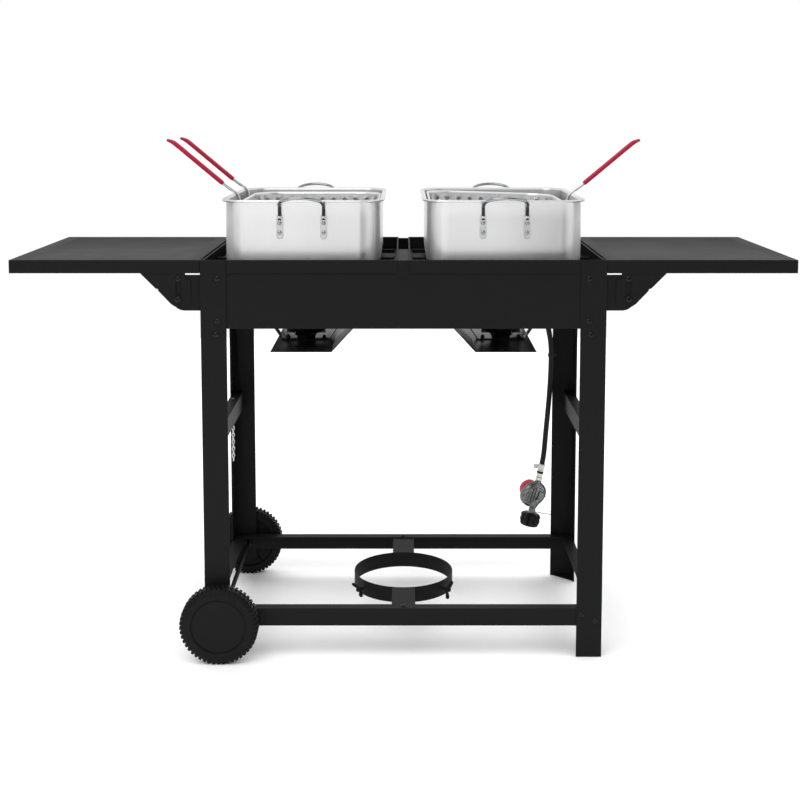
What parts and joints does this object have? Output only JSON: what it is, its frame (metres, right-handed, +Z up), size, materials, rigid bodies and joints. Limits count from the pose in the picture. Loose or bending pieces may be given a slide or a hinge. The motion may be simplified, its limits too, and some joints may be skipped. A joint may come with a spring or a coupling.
{
  "type": "turkey fryer kit",
  "caption": "Folded-sheet outdoor fryer cart with gas burners, rectangular pots and lift-out baskets, drop-leaf side shelves, wheels on the left and a hanging gas regulator.",
  "frame": {"origin": "on the floor under the middle of the cart", "axes": "+X along the cart's long side to its right, +Y from its front to its rear, +Z up"},
  "size_m": [1.6, 0.556, 1.0782],
  "materials": {
    "black_coat": "satin black powder coat",
    "aluminium": "brushed",
    "wire_steel": "polished wire",
    "cast_iron": "rough black casting",
    "wheel_plastic": "moulded",
    "hose_rubber": "smooth rubber",
    "plated_brass": "nickel plated",
    "zinc_casting": "grey die casting",
    "red_plastic": "gloss",
    "red_vinyl": "dipped vinyl",
    "nut_plastic": "moulded"
  },
  "bodies": {
    "frame": {"leg_front_left": "black_coat", "leg_front_right": "black_coat", "leg_rear_left": "black_coat", "leg_rear_right": "black_coat", "apron_front": "black_coat", "apron_rear": "black_coat", "end_panel_left": "black_coat", "end_panel_right": "black_coat", "centre_strip": "black_coat", "rail_front": "black_coat", "rail_rear": "black_coat", "rail_left": "black_coat", "rail_right": "black_coat", "middle_rail_left": "black_coat", "middle_rail_right": "black_coat", "bottle_ring": "black_coat", "tray_left": "black_coat", "tray_right": "black_coat", "grate_left": "black_coat", "grate_right": "black_coat", "hinge_bracket_front_left": "black_coat", "hinge_bracket_front_right": "black_coat", "hinge_bracket_rear_left": "black_coat", "hinge_bracket_rear_right": "black_coat", "heat_shield_left": "black_coat", "heat_shield_right": "black_coat", "burner_strap_left": "black_coat", "burner_strap_right": "black_coat", "axle": "wire_steel", "burner_left": "cast_iron", "burner_right": "cast_iron", "gas_manifold": "cast_iron", "gas_hose": "hose_rubber", "hose_fitting": "plated_brass", "regulator_body": "zinc_casting"},
    "front_wheel": {"wheel_front": "wheel_plastic"},
    "rear_wheel": {"wheel_rear": "wheel_plastic"},
    "left_shelf": {"shelf_left": "black_coat", "shelf_arm_front_left": "black_coat", "shelf_arm_rear_left": "black_coat"},
    "right_shelf": {"shelf_right": "black_coat", "shelf_arm_front_right": "black_coat", "shelf_arm_rear_right": "black_coat"},
    "left_pot": {"pot_left": "aluminium", "pot_handle_front_left": "wire_steel", "pot_handle_rear_left": "wire_steel"},
    "right_pot": {"pot_right": "aluminium", "pot_handle_front_right": "wire_steel", "pot_handle_rear_right": "wire_steel"},
    "left_basket": {"basket_left": "aluminium", "basket_handle_left_front": "wire_steel", "basket_handle_left_rear": "wire_steel"},
    "right_basket": {"basket_right": "aluminium", "basket_handle_right": "wire_steel"},
    "left_valve": {"valve_knob_left": "red_plastic"},
    "right_valve": {"valve_knob_right": "red_plastic"},
    "pressure_knob": {"regulator_knob": "red_plastic"},
    "bottle_nut": {"coupling_nut": "nut_plastic"},
    "left_wing_screw": {"wing_screw_left": "black_coat"},
    "right_wing_screw": {"wing_screw_right": "black_coat"}
  },
  "joints": [
    {"name": "left_shelf_fold", "type": "hinge", "parent": "frame", "child": "left_shelf", "pos_m": [-0.4573, 0, 0.755], "axis": [0, -1, 0], "range_deg": [0, 90]},
    {"name": "right_shelf_fold", "type": "hinge", "parent": "frame", "child": "right_shelf", "pos_m": [0.4573, 0, 0.755], "axis": [0, 1, 0], "range_deg": [0, 90]},
    {"name": "front_wheel_spin", "type": "hinge", "parent": "frame", "child": "front_wheel", "pos_m": [-0.38, -0.258, 0.081], "axis": [0, 1, 0], "continuous": true},
    {"name": "rear_wheel_spin", "type": "hinge", "parent": "frame", "child": "rear_wheel", "pos_m": [-0.38, 0.258, 0.081], "axis": [0, 1, 0], "continuous": true},
    {"name": "left_pot_lift", "type": "slide", "parent": "frame", "child": "left_pot", "axis": [0, 0, 1], "range_m": [0, 0.05]},
    {"name": "right_pot_lift", "type": "slide", "parent": "frame", "child": "right_pot", "axis": [0, 0, 1], "range_m": [0, 0.05]},
    {"name": "left_basket_lift", "type": "slide", "parent": "left_pot", "child": "left_basket", "axis": [0, 0, 1], "range_m": [0, 0.14]},
    {"name": "right_basket_lift", "type": "slide", "parent": "right_pot", "child": "right_basket", "axis": [0, 0, 1], "range_m": [0, 0.14]},
    {"name": "left_valve_turn", "type": "hinge", "parent": "frame", "child": "left_valve", "pos_m": [-0.305, 0.23, 0.652], "axis": [0, 1, 0], "range_deg": [0, 270]},
    {"name": "right_valve_turn", "type": "hinge", "parent": "frame", "child": "right_valve", "pos_m": [0.305, 0.23, 0.652], "axis": [0, 1, 0], "range_deg": [0, 270]},
    {"name": "pressure_knob_turn", "type": "hinge", "parent": "frame", "child": "pressure_knob", "pos_m": [0.31095, 0.185, 0.22002], "axis": [-0.3383, 0.8999, 0.2753], "range_deg": [0, 330]},
    {"name": "bottle_nut_spin", "type": "hinge", "parent": "frame", "child": "bottle_nut", "pos_m": [0.30409, 0.185, 0.15681], "axis": [-0.1994, 0, -0.9799], "continuous": true},
    {"name": "left_wing_screw_turn", "type": "hinge", "parent": "frame", "child": "left_wing_screw", "pos_m": [-0.08723, -0.06815, 0.084], "axis": [-0.788, -0.6157, 0], "continuous": true},
    {"name": "right_wing_screw_turn", "type": "hinge", "parent": "frame", "child": "right_wing_screw", "pos_m": [0.08723, -0.06815, 0.084], "axis": [0.788, -0.6157, 0], "continuous": true}
  ]
}
